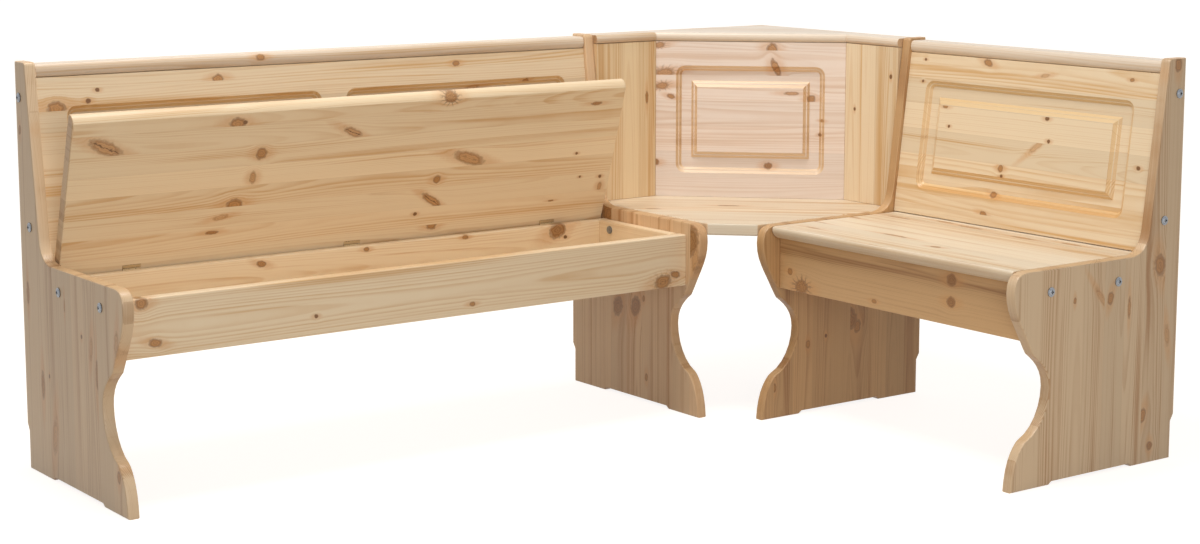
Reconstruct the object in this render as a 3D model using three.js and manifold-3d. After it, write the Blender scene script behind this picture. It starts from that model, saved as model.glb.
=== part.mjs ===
// Corner storage bench in laminated pine. Two box seats with hinged lids stand at right angles and
// are joined by a corner seat. Four scrolled side panels carry every other board, held by
// cross-head connectors. Millimetres, Z up.
//
// Everything is drawn from the room corner on the floor. The long bench runs along -X with its back
// to the wall y = 0. The short bench runs along -Y with its back to the wall x = 0, and is drawn in
// a group turned a quarter turn, so both benches share one set of functions. "Depth" is the
// distance from the wall behind a piece. The whole is then centred on its footprint.

import * as THREE from 'three';
import { mergeVertices } from 'three/addons/utils/BufferGeometryUtils.js';
import Module from 'manifold-3d';

const wasm = await Module();
wasm.setup();

// Overall sizes. The corner side runs from the room corner to the near face of a box seat.
const height = 850;
const longLength = 1992;
const shortLength = 1359;
const cornerSide = 595;
const seatHeight = 446;

// Boards.
const panelThickness = 25;
const lidThickness = 27;
const railThickness = 27;
const backRailThickness = 20;
const backThickness = 22;
const topRailThickness = 27;
const bottomThickness = 8;

// The gap left at glue lines and running fits, the length by which a cut overruns a face, and how
// far apart two points may lie and still be one.
const fit = 0.3;
const overrun = 5;
const weldDistance = 0.001;

// Side panel: depth at the nose of the seat, the roundover along both arrises, the notch that
// clears a skirting board, the feet, and the cove between seat and back.
const panelDepth = 494;
const panelRoundover = 4;
const skirtingDepth = 9;
const skirtingHeight = 80;
const skirtingChamfer = 15;
const topCornerRadius = 9;
const coveRadius = 50;
const backFootLength = 121;
const frontFootLength = 111;
const footRelief = 6;
const footSlope = 8;

// Backrest: depth of its leaning face at seat height and at the panels' top, how far it sits behind
// the panel's front edge, and the gap left over the lid.
const backrestSeatDepth = 94.5;
const backrestTopDepth = 42.8;
const backrestSetback = 8.5;
const backrestLift = 1.5;

// Top rail of a backrest, with its nose standing proud of the face below. The noses of the rails
// and of the cap are half ellipses, and the sweep is the depth over which they are rounded.
const noseSweep = 8;
const topRailDrop = 5.5;
const topRailWallGap = 2;
const topRailOverhang = 2.5;

// Batten behind each end of a backrest.
const cleatWidth = 45;
const cleatThickness = 20;
const cleatMargin = 5;

// Routed fields of the backs: margin between a field and the board's edge or the next field, width
// and depth of the moulded outer edge, corner radius, flat channel, and the moulded edge of the
// raised centre with its drop below the board's face.
const fieldMargin = 61;
const fieldDepth = 11;
const mouldingWidth = 13;
const fieldCornerRadius = 22;
const channelWidth = 24;
const centreEdgeWidth = 15;
const centreDrop = 0.6;
const longFieldCount = 2;
const shortFieldCount = 1;
const diagonalFieldMargin = 49;
const diagonalFieldRise = 58.5;

// Box under a lid: depths of the front face and of the back face, the rails' height, the roundover
// of their top arrises, and the groove that holds the bottom board.
const boxFrontDepth = 444;
const boxBackDepth = 127;
const boxRailHeight = 117;
const railRoundover = 4;
const grooveDepth = 8;
const grooveRise = 10;

// Lid: depths of its nose and back edge, drop of its top below the panels' seat edge, gaps at its
// ends, the nose's roundover, the width of its lower curve and how far that has turned where it
// meets the underside, the ends' roundover, and how far each lid stands open.
const lidNoseDepth = 472;
const lidDrop = 0.7;
const lidBackDepth = 80;
const lidEndGap = 3;
const lidTopRoundover = 8;
const lidNoseSweep = 14;
const lidNoseTurnDegrees = 50;
const lidEndRoundover = 3;
const longLidOpenDegrees = 72.7;
const shortLidOpenDegrees = 0;

// Butt hinges.
const hingeLength = 40;
const hingeInset = 160;
const hingeLeafThickness = 1.5;
const hingeLeafWidth = 10;
const knuckleRadius = 2.7;
const hingePinRadius = 1.2;
const knuckleShare = 1 / 3;
const longHingeCount = 3;
const shortHingeCount = 2;

// Corner unit: depth of the narrow boards' faces, distance along each wall at which the plane of
// the diagonal board would meet it, the seat, its battens, and the cap with its two rails.
const cornerBackDepth = 65;
const diagonalReach = 455;
const cornerSeatThickness = 27;
const cornerSeatRise = 1;
const cornerSeatDepth = 490;
const cornerSeatBackDepth = 30;
const cornerSeatRoundover = 4;
const seatCleatThickness = 27;
const seatCleatHeight = 40;
const seatCleatBackDepth = 130;
const seatCleatFrontDepth = 450;
const capThickness = 21;
const capDrop = 2;
const capOverhang = 3;

// Connectors: flanged and domed head with a cross recess, shank, and the flange of the sleeve nut.
// The high and low ones hold the backrest and the rear and front ones the box.
const headRadius = 10;
const headHeight = 4.5;
const headFlangeHeight = 1.4;
const domeRadius = 7;
const shankRadius = 3;
const nutRadius = 9.5;
const nutHeight = 2;
const recessSpan = 8;
const recessWidth = 2.4;
const recessDepth = 2.4;
const blindLength = 40;
const boltBackset = 33;
const highBoltDrop = 73.4;
const lowBoltRise = 67.6;
const boxBoltDrop = 19;
const boxBoltDepths = [189.5, 390];

// How finely round stretches are divided.
const outlineSegments = 6;
const roundoverSegments = 2;
const noseSegments = 8;
const turnSegments = 12;
const fieldCornerSegments = 4;
const headSegments = 3;

// The seat end of a side panel below its seat edge, from the nose down to the toe, as shares of
// the panel's depth and of the seat height. Each row is one curve: two handles and its end.
const noseStartShares = [0.911, 1];
const scrollShares = [
  [0.972, 1, 1, 0.978, 1, 0.908],
  [1, 0.82, 0.957, 0.765, 0.905, 0.658],
  [0.898, 0.645, 0.891, 0.631, 0.883, 0.617],
  [0.834, 0.578, 0.785, 0.534, 0.785, 0.455],
  [0.785, 0.359, 0.834, 0.26, 0.911, 0.227],
  [0.917, 0.222, 0.923, 0.218, 0.927, 0.213],
  [0.957, 0.179, 0.988, 0.117, 0.994, 0],
];

// Section of the moulded edges of a field, from the foot of the edge in the channel up to its
// crest: shares of the edge's width and of its height. Two steep steps have a shelf between them.
const mouldingShares = [[0, 0], [0.38, 0.46], [0.56, 0.53], [0.93, 0.95], [1, 1]];

// Places worked out from the sizes above.
const panelFace = cornerSide - panelThickness;
const lean = (backrestSeatDepth - backrestTopDepth) / (height - seatHeight);
const leanAngle = Math.atan(lean);
const backrestDepth = (z) => backrestSeatDepth - lean * (z - seatHeight);
const panelFrontDepth = (z) => backrestDepth(z) + backrestSetback;
const levelThickness = (thickness) => thickness / Math.cos(leanAngle);
const backrestBottom = seatHeight + backrestLift;
const topRailTop = height - topRailDrop;
const topRailBottom = topRailTop - topRailThickness;
const lidTop = seatHeight - lidDrop;
const lidBottom = lidTop - lidThickness;
const boxTop = lidBottom - fit;
const boxBottom = boxTop - boxRailHeight;
const boxFrontInner = boxFrontDepth - railThickness;
const boxBackInner = boxBackDepth + backRailThickness;
const bottomBoardBase = boxBottom + grooveRise;
const pinDepth = boxBackDepth - fit - knuckleRadius;
const pinHeight = lidBottom + hingeLeafThickness - knuckleRadius;
const cornerSeatTop = seatHeight + cornerSeatRise;
const cornerSeatBase = cornerSeatTop - cornerSeatThickness;
const capTop = height - capDrop;
const capBase = capTop - capThickness;
const highBoltHeight = height - highBoltDrop;
const lowBoltHeight = seatHeight + lowBoltRise;
const boxBoltHeight = boxTop - boxBoltDrop;
const boltDepth = (z) => backrestDepth(z) - boltBackset;
const headStand = fit + headHeight;

// Materials. The pine varies from board to board, so each piece has its own lightness.
const pineHue = 0.095;
const pineSaturation = 0.55;

function pine(lightness) {
  const material = new THREE.MeshStandardMaterial({ roughness: 0.55, metalness: 0 });
  material.color.setHSL(pineHue, pineSaturation, lightness);
  return material;
}

function zinc() {
  return new THREE.MeshStandardMaterial({ color: 0xb9bcbf, roughness: 0.35, metalness: 0.9 });
}

// Solids: closed meshes that can be joined and cut.
function toSolid(geometry) {
  const bare = geometry.clone();
  bare.deleteAttribute('normal');
  bare.deleteAttribute('uv');
  const merged = mergeVertices(bare, weldDistance);
  const mesh = new wasm.Mesh({
    numProp: 3,
    vertProperties: new Float32Array(merged.attributes.position.array),
    triVerts: new Uint32Array(merged.index.array),
  });
  return new wasm.Manifold(mesh);
}

function toGeometry(solid) {
  const { vertProperties, triVerts } = solid.getMesh();
  const geometry = new THREE.BufferGeometry();
  geometry.setAttribute('position', new THREE.BufferAttribute(vertProperties, 3));
  geometry.setIndex(new THREE.BufferAttribute(triVerts, 1));
  geometry.computeVertexNormals();
  return geometry;
}

function cutAll(geometry, cutters) {
  let solid = toSolid(geometry);
  for (const cutter of cutters) solid = solid.subtract(toSolid(cutter));
  return toGeometry(solid);
}

function joinAll(geometries) {
  let solid = toSolid(geometries[0]);
  for (const geometry of geometries.slice(1)) solid = solid.add(toSolid(geometry));
  return solid;
}

function place(parent, name, geometry, material) {
  const mesh = new THREE.Mesh(geometry, material);
  mesh.name = name;
  parent.add(mesh);
  return mesh;
}

// Basic forms. A section has its depth along shape x, as minus the depth, and its height along
// shape y, and is run along X or, for boards that face sideways, along -Y.
const axisX = new THREE.Vector3(1, 0, 0);
const axisY = new THREE.Vector3(0, 1, 0);
const axisZ = new THREE.Vector3(0, 0, 1);
const sectionAlongX = new THREE.Matrix4().makeBasis(axisY, axisZ, axisX);
const sectionAlongY = new THREE.Matrix4().makeBasis(axisX, axisZ, axisY.clone().negate());

function runAlongX(shape, start, end, roundover = 0) {
  const geometry = new THREE.ExtrudeGeometry(shape, {
    depth: end - start - 2 * roundover,
    curveSegments: outlineSegments,
    bevelEnabled: roundover > 0,
    bevelThickness: roundover,
    bevelSize: roundover,
    bevelOffset: -roundover,
    bevelSegments: roundoverSegments,
  });
  geometry.applyMatrix4(sectionAlongX);
  geometry.translate(start + roundover, 0, 0);
  return geometry;
}

function runAlongY(shape, nearDepth, farDepth) {
  const geometry = new THREE.ExtrudeGeometry(shape, {
    depth: farDepth - nearDepth,
    curveSegments: roundoverSegments,
    bevelEnabled: false,
  });
  geometry.applyMatrix4(sectionAlongY);
  geometry.translate(0, -nearDepth, 0);
  return geometry;
}

function runUp(points, base, top, roundover = 0) {
  const geometry = new THREE.ExtrudeGeometry(outline(points), {
    depth: top - base - 2 * roundover,
    bevelEnabled: roundover > 0,
    bevelThickness: roundover,
    bevelSize: roundover,
    bevelOffset: -roundover,
    bevelSegments: roundoverSegments,
  });
  geometry.translate(0, 0, base + roundover);
  return geometry;
}

function outline(points) {
  return new THREE.Shape(points.map(([x, y]) => new THREE.Vector2(x, y)));
}

function block([x0, y0, z0], [x1, y1, z1]) {
  const geometry = new THREE.BoxGeometry(x1 - x0, y1 - y0, z1 - z0);
  geometry.translate((x0 + x1) / 2, (y0 + y1) / 2, (z0 + z1) / 2);
  return geometry;
}

function rodAlongX(radius, start, end, depth, z) {
  const geometry = new THREE.CylinderGeometry(radius, radius, end - start, turnSegments);
  geometry.rotateZ(Math.PI / 2);
  geometry.translate((start + end) / 2, -depth, z);
  return geometry;
}

// A closed skin over loops that have the same number of points.
function loft(loops) {
  const count = loops[0].length;
  const positions = loops.flat().flatMap((point) => [point.x, point.y, point.z]);
  const index = [];
  for (let row = 0; row + 1 < loops.length; row += 1) {
    for (let k = 0; k < count; k += 1) {
      const a = row * count + k;
      const b = row * count + ((k + 1) % count);
      index.push(a, b, b + count, a, b + count, a + count);
    }
  }
  const last = (loops.length - 1) * count;
  for (let k = 1; k + 1 < count; k += 1) {
    index.push(0, k + 1, k);
    index.push(last, last + k, last + k + 1);
  }
  const geometry = new THREE.BufferGeometry();
  geometry.setAttribute('position', new THREE.Float32BufferAttribute(positions, 3));
  geometry.setIndex(index);
  return geometry;
}

// Side panel.
function panelShape() {
  const shape = new THREE.Shape();
  const at = (depthShare, heightShare) => [-depthShare * panelDepth, heightShare * seatHeight];
  shape.moveTo(-skirtingDepth, 0);
  shape.lineTo(-skirtingDepth, skirtingHeight);
  shape.lineTo(0, skirtingHeight + skirtingChamfer);
  shape.lineTo(0, height);
  const topFront = panelFrontDepth(height);
  const roundEnd = height - topCornerRadius;
  shape.lineTo(topCornerRadius - topFront, height);
  shape.quadraticCurveTo(-topFront, height, -panelFrontDepth(roundEnd), roundEnd);
  const coveTop = seatHeight + coveRadius;
  const coveDepth = panelFrontDepth(seatHeight);
  shape.lineTo(-panelFrontDepth(coveTop), coveTop);
  shape.quadraticCurveTo(-coveDepth, seatHeight, -coveDepth - coveRadius, seatHeight);
  shape.lineTo(...at(...noseStartShares));
  for (const [u1, v1, u2, v2, u3, v3] of scrollShares) {
    shape.bezierCurveTo(...at(u1, v1), ...at(u2, v2), ...at(u3, v3));
  }
  const toe = shape.currentPoint.x;
  const frontFootEnd = toe + frontFootLength;
  const backFootEnd = -skirtingDepth - backFootLength;
  shape.lineTo(frontFootEnd, 0);
  shape.lineTo(frontFootEnd + footSlope, footRelief);
  shape.lineTo(backFootEnd - footSlope, footRelief);
  shape.lineTo(backFootEnd, 0);
  return shape;
}

function panelBolts() {
  const upper = [highBoltHeight, lowBoltHeight].map((z) => [boltDepth(z), z]);
  const lower = boxBoltDepths.map((depth) => [depth, boxBoltHeight]);
  return [...upper, ...lower];
}

function sidePanel(start) {
  const end = start + panelThickness;
  const board = runAlongX(panelShape(), start, end, panelRoundover);
  const holes = panelBolts().map(([depth, z]) =>
    rodAlongX(shankRadius + fit, start - overrun, end + overrun, depth, z));
  return cutAll(board, holes);
}

// Routed field: a pocket with a moulded edge, less the raised centre that is left standing in it.
// It is drawn on the plane z = 0 with the board below it.
function roundedLoop(width, tall, radius, z) {
  const points = [];
  const corners = [[1, 1, 0], [-1, 1, 1], [-1, -1, 2], [1, -1, 3]];
  for (const [sideways, upward, quarter] of corners) {
    for (let k = 0; k <= fieldCornerSegments; k += 1) {
      const angle = (quarter + k / fieldCornerSegments) * Math.PI / 2;
      const x = sideways * (width / 2 - radius) + radius * Math.cos(angle);
      const y = upward * (tall / 2 - radius) + radius * Math.sin(angle);
      points.push(new THREE.Vector3(x, y, z));
    }
  }
  return points;
}

function squareLoop(width, tall, z) {
  const corners = [[1, 1], [-1, 1], [-1, -1], [1, -1]];
  return corners.map(([x, y]) => new THREE.Vector3(x * width / 2, y * tall / 2, z));
}

function fieldCutter(width, tall) {
  const edge = (inset, z) =>
    roundedLoop(width - 2 * inset, tall - 2 * inset, fieldCornerRadius - inset, z);
  const square = (inset, z) => squareLoop(width - 2 * inset, tall - 2 * inset, z);
  const centreInset = mouldingWidth + channelWidth;
  const pocket = mouldingShares.map(([widthShare, heightShare]) =>
    edge(mouldingWidth * (1 - widthShare), fieldDepth * (heightShare - 1)));
  pocket.push(edge(0, overrun));
  const raised = mouldingShares.map(([widthShare, heightShare]) => square(
    centreInset + centreEdgeWidth * widthShare,
    (fieldDepth - centreDrop) * heightShare - fieldDepth,
  ));
  raised.unshift(square(centreInset, -fieldDepth - overrun));
  raised.push(square(centreInset + centreEdgeWidth, 2 * overrun));
  return toSolid(loft(pocket)).subtract(toSolid(loft(raised)));
}

function routFields(board, placements, width, tall) {
  let solid = toSolid(board);
  for (const placement of placements) {
    solid = solid.subtract(toSolid(toGeometry(fieldCutter(width, tall)).applyMatrix4(placement)));
  }
  return toGeometry(solid);
}

// Backrest of a bench, its battens and its top rail.
function leaningShape(frontOffset, thickness, base, top) {
  const front = (z) => -backrestDepth(z) + frontOffset;
  const back = (z) => front(z) + levelThickness(thickness);
  return outline([[front(base), base], [back(base), base], [back(top), top], [front(top), top]]);
}

function backrest(start, end, fieldCount) {
  const top = topRailBottom - fit;
  const shape = leaningShape(0, backThickness, backrestBottom, top);
  const board = runAlongX(shape, start + fit, end - fit);
  const middle = (backrestBottom + top) / 2;
  const width = (end - start - (fieldCount + 1) * fieldMargin) / fieldCount;
  const tall = (top - backrestBottom) / Math.cos(leanAngle) - 2 * fieldMargin;
  const placements = [];
  for (let k = 0; k < fieldCount; k += 1) {
    const x = start + fieldMargin + width / 2 + k * (width + fieldMargin);
    const placement = new THREE.Matrix4().makeRotationX(Math.PI / 2 - leanAngle);
    placements.push(placement.setPosition(x, -backrestDepth(middle), middle));
  }
  return routFields(board, placements, width, tall);
}

function backCleat(start, end) {
  const offset = levelThickness(backThickness) + fit;
  const base = backrestBottom + cleatMargin;
  const top = topRailBottom - cleatMargin;
  const batten = runAlongX(leaningShape(offset, cleatThickness, base, top), start, end);
  const holes = [highBoltHeight, lowBoltHeight].map((z) =>
    rodAlongX(shankRadius + fit, start - overrun, end + overrun, boltDepth(z), z));
  return cutAll(batten, holes);
}

function noseShape(backDepth, frontDepth, base, top) {
  const half = (top - base) / 2;
  const shape = new THREE.Shape();
  shape.moveTo(-backDepth, base);
  shape.lineTo(-backDepth, top);
  for (let k = 0; k <= noseSegments; k += 1) {
    const angle = Math.PI / 2 + k / noseSegments * Math.PI;
    const x = noseSweep - frontDepth + noseSweep * Math.cos(angle);
    shape.lineTo(x, base + half + half * Math.sin(angle));
  }
  return shape;
}

// Box: a rail has both top arrises rounded and a groove in its inner face.
function railShape(inner, outer) {
  const out = Math.sign(outer - inner);
  const innerEdge = inner + out * railRoundover;
  const outerEdge = outer - out * railRoundover;
  const shoulder = boxTop - railRoundover;
  const grooveBase = bottomBoardBase - fit;
  const grooveTop = bottomBoardBase + bottomThickness + fit;
  const shape = new THREE.Shape();
  shape.moveTo(inner, boxBottom);
  shape.lineTo(outer, boxBottom);
  shape.lineTo(outer, shoulder);
  shape.quadraticCurveTo(outer, boxTop, outerEdge, boxTop);
  shape.lineTo(innerEdge, boxTop);
  shape.quadraticCurveTo(inner, boxTop, inner, shoulder);
  shape.lineTo(inner, grooveTop);
  shape.lineTo(inner + out * grooveDepth, grooveTop);
  shape.lineTo(inner + out * grooveDepth, grooveBase);
  shape.lineTo(inner, grooveBase);
  return shape;
}

function endRail(outer, inner) {
  const rail = runAlongY(railShape(inner, outer), boxBackInner + fit, boxFrontInner - fit);
  const low = Math.min(inner, outer) - overrun;
  const high = Math.max(inner, outer) + overrun;
  const holes = boxBoltDepths.map((depth) =>
    rodAlongX(shankRadius + fit, low, high, depth, boxBoltHeight));
  return cutAll(rail, holes);
}

function bottomBoard(start, end) {
  const reach = grooveDepth - fit;
  return block(
    [start + railThickness - reach, -boxFrontInner - reach, bottomBoardBase],
    [end - railThickness + reach, -boxBackInner + reach, bottomBoardBase + bottomThickness],
  );
}

// Lid: drawn closed. Its nose is rounded over on top and curves back to a crisp edge underneath.
function lidShape() {
  const shape = new THREE.Shape();
  shape.moveTo(-lidBackDepth, lidBottom);
  shape.lineTo(-lidBackDepth, lidTop);
  shape.lineTo(lidTopRoundover - lidNoseDepth, lidTop);
  shape.quadraticCurveTo(-lidNoseDepth, lidTop, -lidNoseDepth, lidTop - lidTopRoundover);
  const drop = lidTop - lidTopRoundover - lidBottom;
  const turn = THREE.MathUtils.degToRad(lidNoseTurnDegrees);
  for (let k = 1; k <= noseSegments; k += 1) {
    const angle = k / noseSegments * turn;
    const backShare = (1 - Math.cos(angle)) / (1 - Math.cos(turn));
    const downShare = Math.sin(angle) / Math.sin(turn);
    shape.lineTo(lidNoseSweep * backShare - lidNoseDepth, lidBottom + drop * (1 - downShare));
  }
  return shape;
}

function lidBoard(start, end, hingePlaces) {
  const board = runAlongX(lidShape(), start, end, lidEndRoundover);
  const halfLength = hingeLength / 2 + fit;
  const mortiseTop = lidBottom + hingeLeafThickness + fit;
  const mortises = hingePlaces.map((x) => block(
    [x - halfLength, -pinDepth - hingeLeafWidth - fit, lidBottom - overrun],
    [x + halfLength, -pinDepth + knuckleRadius + fit, mortiseTop],
  ));
  return cutAll(board, mortises);
}

// Butt hinge about the pin. The outer knuckles belong to the leaf on the back rail, the middle
// one and the pin to the leaf in the lid.
function frameLeaf(x) {
  const half = hingeLength / 2;
  const inner = hingeLength * knuckleShare / 2 + fit / 2;
  const face = -boxBackDepth + fit;
  const plateTop = pinHeight - knuckleRadius - fit;
  const pieces = [block(
    [x - half, face, pinHeight - hingeLeafWidth],
    [x + half, face + hingeLeafThickness, plateTop],
  )];
  for (const [from, to] of [[x - half, x - inner], [x + inner, x + half]]) {
    pieces.push(block([from, face, plateTop - fit], [to, face + hingeLeafThickness, pinHeight]));
    pieces.push(rodAlongX(knuckleRadius, from, to, pinDepth, pinHeight));
  }
  const bore = rodAlongX(
    hingePinRadius + fit, x - half - overrun, x + half + overrun, pinDepth, pinHeight);
  return toGeometry(joinAll(pieces).subtract(toSolid(bore)));
}

function lidLeaf(x) {
  const half = hingeLength / 2;
  const inner = hingeLength * knuckleShare / 2 - fit / 2;
  const top = lidBottom + hingeLeafThickness;
  const clear = -pinDepth - knuckleRadius - fit;
  const plate = block([x - half, -pinDepth - hingeLeafWidth, lidBottom], [x + half, clear, top]);
  const tab = block([x - inner, clear - fit, lidBottom], [x + inner, -pinDepth, top]);
  const knuckle = rodAlongX(knuckleRadius, x - inner, x + inner, pinDepth, pinHeight);
  const pin = rodAlongX(hingePinRadius, x - half, x + half, pinDepth, pinHeight);
  return toGeometry(joinAll([plate, tab, knuckle, pin]));
}

// Connector along +X, with the board face it bears on at x = 0. With a grip it ends in a nut
// flange past the last board, and without one the shank ends in the wood.
function connector(grip, reach) {
  const profile = [];
  const flangeTop = fit + headFlangeHeight;
  const domeHeight = headHeight - headFlangeHeight;
  for (let k = 0; k <= headSegments; k += 1) {
    const angle = k / headSegments * Math.PI / 2;
    profile.push([domeRadius * Math.sin(angle), flangeTop + domeHeight * Math.cos(angle)]);
  }
  profile.push([headRadius, flangeTop], [headRadius, fit], [shankRadius, fit]);
  if (grip > 0) {
    profile.push([shankRadius, -grip - fit], [nutRadius, -grip - fit]);
    profile.push([nutRadius, -grip - fit - nutHeight], [0, -grip - fit - nutHeight]);
  } else {
    profile.push([shankRadius, -reach], [0, -reach]);
  }
  profile.reverse();
  profile[profile.length - 1][0] = 0;
  const body = new THREE.LatheGeometry(
    profile.map(([radius, y]) => new THREE.Vector2(radius, y)), turnSegments);
  const arm = recessSpan / 2;
  const half = recessWidth / 2;
  const cross = outline([
    [arm, -half], [arm, half], [half, half], [half, arm], [-half, arm], [-half, half],
    [-arm, half], [-arm, -half], [-half, -half], [-half, -arm], [half, -arm], [half, -half],
  ]);
  const recess = new THREE.ExtrudeGeometry(cross, {
    depth: recessDepth + overrun,
    bevelEnabled: false,
  });
  recess.rotateX(-Math.PI / 2);
  recess.translate(0, headStand - recessDepth, 0);
  const geometry = cutAll(body, [recess]);
  geometry.rotateZ(-Math.PI / 2);
  return geometry;
}

function placeConnector(parent, name, face, depth, z, outward, grip, reach) {
  const mesh = place(parent, name, connector(grip, reach), zinc());
  mesh.position.set(face, -depth, z);
  if (outward < 0) mesh.rotation.z = Math.PI;
}

// One bench between two side panels. The outward sign points from the corner to the free end.
function buildBench(parent, title, freeEnd, sizes) {
  const near = cornerSide;
  const far = sizes.length - panelThickness;
  const [start, end] = freeEnd < 0 ? [-far, -near] : [near, far];
  const bench = new THREE.Group();
  parent.add(bench);
  const add = (name, geometry, lightness) =>
    place(bench, `${title}_${name}`, geometry, pine(lightness));

  add('backrest', backrest(start, end, sizes.fieldCount), 0.72);
  const railNose = backrestDepth(topRailBottom) + topRailOverhang;
  const topRail = noseShape(topRailWallGap, railNose, topRailBottom, topRailTop);
  add('top_rail', runAlongX(topRail, start + fit, end - fit), 0.75);
  const inset = cleatWidth + fit;
  const ends = { left: [start + fit, start + inset], right: [end - inset, end - fit] };
  for (const [side, [from, to]] of Object.entries(ends)) {
    add(`back_cleat_${side}`, backCleat(from, to), 0.66);
  }

  const frontRail = railShape(-boxFrontInner, -boxFrontDepth);
  const backRail = railShape(-boxBackInner, -boxBackDepth);
  add('front_rail', runAlongX(frontRail, start + fit, end - fit), 0.7);
  add('back_rail', runAlongX(backRail, start + fit, end - fit), 0.69);
  add('end_rail_left', endRail(start + fit, start + railThickness), 0.68);
  add('end_rail_right', endRail(end - fit, end - railThickness), 0.68);
  add('box_bottom', bottomBoard(start, end), 0.74);

  const lidStart = start + lidEndGap;
  const lidEnd = end - lidEndGap;
  const hingeStep = (lidEnd - lidStart - 2 * hingeInset) / (sizes.hingeCount - 1);
  const hingePlaces = Array.from(
    { length: sizes.hingeCount }, (_, k) => lidStart + hingeInset + k * hingeStep);
  const lid = new THREE.Group();
  lid.position.set(0, -pinDepth, pinHeight);
  lid.rotation.x = -THREE.MathUtils.degToRad(sizes.openDegrees);
  bench.add(lid);
  const hang = (geometry) => geometry.translate(0, pinDepth, -pinHeight);
  place(lid, `${title}_lid`, hang(lidBoard(lidStart, lidEnd, hingePlaces)), pine(0.73));
  hingePlaces.forEach((x, k) => {
    place(bench, `${title}_hinge_frame_leaf_${k + 1}`, frameLeaf(x), zinc());
    place(lid, `${title}_hinge_lid_leaf_${k + 1}`, hang(lidLeaf(x)), zinc());
  });

  const freeSide = freeEnd < 0 ? 'left' : 'right';
  const cornerSideName = freeEnd < 0 ? 'right' : 'left';
  const outerFace = freeEnd * sizes.length;
  const outerPanel = Math.min(outerFace, outerFace - freeEnd * panelThickness);
  const innerPanel = Math.min(freeEnd * near, freeEnd * panelFace);
  place(bench, `side_panel_${freeSide}_end`, sidePanel(outerPanel), pine(0.7));
  place(bench, `side_panel_${freeSide}_inner`, sidePanel(innerPanel), pine(0.69));

  const cleatGrip = panelThickness + inset;
  for (const [label, z] of [['high', highBoltHeight], ['low', lowBoltHeight]]) {
    placeConnector(bench, `${title}_end_connector_${label}`,
      outerFace, boltDepth(z), z, freeEnd, cleatGrip, 0);
  }
  const cleatFace = freeEnd * (near + inset);
  placeConnector(bench, `${title}_${cornerSideName}_connector_high`,
    cleatFace, boltDepth(highBoltHeight), highBoltHeight, freeEnd, cleatGrip, 0);
  placeConnector(bench, `${title}_${cornerSideName}_connector_low`,
    cleatFace, boltDepth(lowBoltHeight), lowBoltHeight, freeEnd, 0, cleatGrip + blindLength);
  const boxGrip = panelThickness + railThickness;
  const seatGrip = boxGrip + seatCleatThickness;
  boxBoltDepths.forEach((depth, k) => {
    const label = k === 0 ? 'rear' : 'front';
    placeConnector(bench, `${title}_end_connector_${label}`,
      outerFace, depth, boxBoltHeight, freeEnd, boxGrip, 0);
    placeConnector(bench, `${title}_${cornerSideName}_connector_${label}`,
      freeEnd * (panelFace - seatCleatThickness), depth, boxBoltHeight, -freeEnd, seatGrip, 0);
  });
  buildCornerSide(bench, freeSide, freeEnd);
  return bench;
}

// The corner unit's boards along one wall: narrow back board, its top rail, and the seat batten.
function buildCornerSide(bench, side, freeEnd) {
  const rearDepth = cornerBackDepth - backThickness;
  const outer = freeEnd * (panelFace - fit);
  const seamFront = freeEnd * (diagonalReach - cornerBackDepth + fit);
  const seamRear = freeEnd * (diagonalReach - backThickness * Math.SQRT2 - rearDepth + fit);
  const plan = [[outer, -cornerBackDepth], [seamFront, -cornerBackDepth],
    [seamRear, -rearDepth], [outer, -rearDepth]];
  const board = runUp(plan, cornerSeatTop + fit, capBase - fit);
  const screwDepth = boltDepth(lowBoltHeight);
  const screwEnd = freeEnd * (panelFace - blindLength - fit);
  const hole = rodAlongX(shankRadius + fit, Math.min(screwEnd, outer + freeEnd * overrun),
    Math.max(screwEnd, outer + freeEnd * overrun), screwDepth, lowBoltHeight);
  place(bench, `corner_back_${side}`, cutAll(board, [hole]), pine(0.71));

  const nose = cornerBackDepth + capOverhang;
  const seam = freeEnd * (capFrontReach() - nose + fit);
  const rail = noseShape(topRailWallGap, nose, capBase, capTop);
  const [from, to] = [seam, outer].sort((a, b) => a - b);
  place(bench, `corner_rail_${side}`, runAlongX(rail, from, to), pine(0.76));

  const cleatFace = freeEnd * (panelFace - fit);
  const cleatBack = freeEnd * (panelFace - seatCleatThickness);
  const [low, high] = [cleatFace, cleatBack].sort((a, b) => a - b);
  const base = cornerSeatBase - fit - seatCleatHeight;
  const batten = block(
    [low, -seatCleatFrontDepth, base],
    [high, -seatCleatBackDepth, cornerSeatBase - fit],
  );
  const holes = boxBoltDepths.map((depth) =>
    rodAlongX(shankRadius + fit, low - overrun, high + overrun, depth, boxBoltHeight));
  place(bench, `corner_seat_cleat_${side}`, cutAll(batten, holes), pine(0.66));
}

// Where the cap's nose line, carried on, meets each wall.
function capFrontReach() {
  return diagonalReach + capOverhang * Math.SQRT2;
}

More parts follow.
